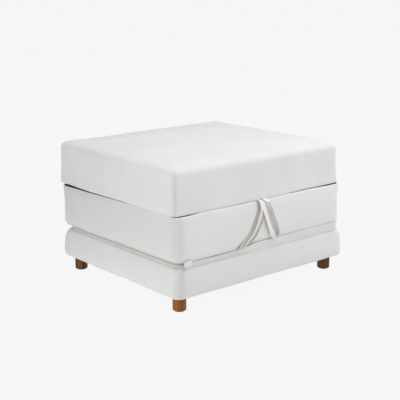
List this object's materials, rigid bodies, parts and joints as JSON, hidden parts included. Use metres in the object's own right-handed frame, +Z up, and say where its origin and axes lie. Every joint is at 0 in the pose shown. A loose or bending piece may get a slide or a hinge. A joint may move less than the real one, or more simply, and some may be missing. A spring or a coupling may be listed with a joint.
{
  "type": "fold out guest bed",
  "caption": "Upholstered ottoman of stacked padded sections on round wooden legs, which unfolds on cloth hinges into a single guest bed.",
  "frame": {"origin": "on the floor under the middle of the folded ottoman", "axes": "+Z up, +X along the fold lines towards the zips, -Y towards the front, where the pull loop hangs and the bed unfolds"},
  "size_m": [0.742, 0.6546, 0.4491],
  "materials": {
    "white_cloth": "woven, matt",
    "beige_cloth": "woven, matt",
    "hinge_cloth": "woven, matt",
    "black_cloth": "non-woven, matt",
    "webbing": "herringbone tape, matt",
    "foam": "open cell foam",
    "leg_wood": "oiled, satin",
    "frame_wood": "planed softwood",
    "plywood": "sanded plywood",
    "steel": "zinc plated",
    "felt": "pressed felt",
    "zip_tape": "woven tape",
    "zip_metal": "nickel plated"
  },
  "bodies": {
    "base": {"base_cover": "white_cloth", "base_top_panel": "beige_cloth", "base_foam": "foam", "base_deck": "plywood", "base_dust_cover": "black_cloth", "base_rail_front": "frame_wood", "base_rail_back": "frame_wood", "base_rail_left": "frame_wood", "base_rail_right": "frame_wood", "base_cross_rail": "frame_wood", "corner_blocks": "frame_wood", "frame_screws": "steel", "leg_front_left": "leg_wood", "leg_front_right": "leg_wood", "leg_back_left": "leg_wood", "leg_back_right": "leg_wood", "leg_nuts": "steel", "leg_bolts": "steel", "leg_glides": "felt", "lower_hinge_strip": "hinge_cloth"},
    "middle": {"middle_cover": "white_cloth", "middle_foam": "foam", "middle_underside": "black_cloth", "middle_zip": "zip_tape", "strap_tail": "webbing", "pull_loop": "webbing", "upper_hinge_strip": "hinge_cloth"},
    "top": {"top_cover": "white_cloth", "top_foam": "foam", "top_underside": "black_cloth", "top_zip": "zip_tape"},
    "middle_slider": {"middle_zip_slider": "zip_metal"},
    "top_slider": {"top_zip_slider": "zip_metal"}
  },
  "joints": [
    {"name": "middle_fold", "type": "hinge", "parent": "base", "child": "middle", "pos_m": [0, -0.3192, 0.1586], "axis": [1, 0, 0], "range_deg": [0, 180], "deforming": ["lower_hinge_strip", "strap_tail", "pull_loop"]},
    {"name": "top_fold", "type": "hinge", "parent": "middle", "child": "top", "pos_m": [0, 0.3243, 0.3036], "axis": [-1, 0, 0], "range_deg": [0, 180], "deforming": ["upper_hinge_strip"]},
    {"name": "middle_zip_slide", "type": "slide", "parent": "middle", "child": "middle_slider", "axis": [0, 1, 0], "range_m": [0, 0.498]},
    {"name": "top_zip_slide", "type": "slide", "parent": "top", "child": "top_slider", "axis": [0, 1, 0], "range_m": [0, 0.498]}
  ],
  "couplings": [
    {"joint": "top_fold", "follows": "middle_fold", "ratio": 1}
  ]
}
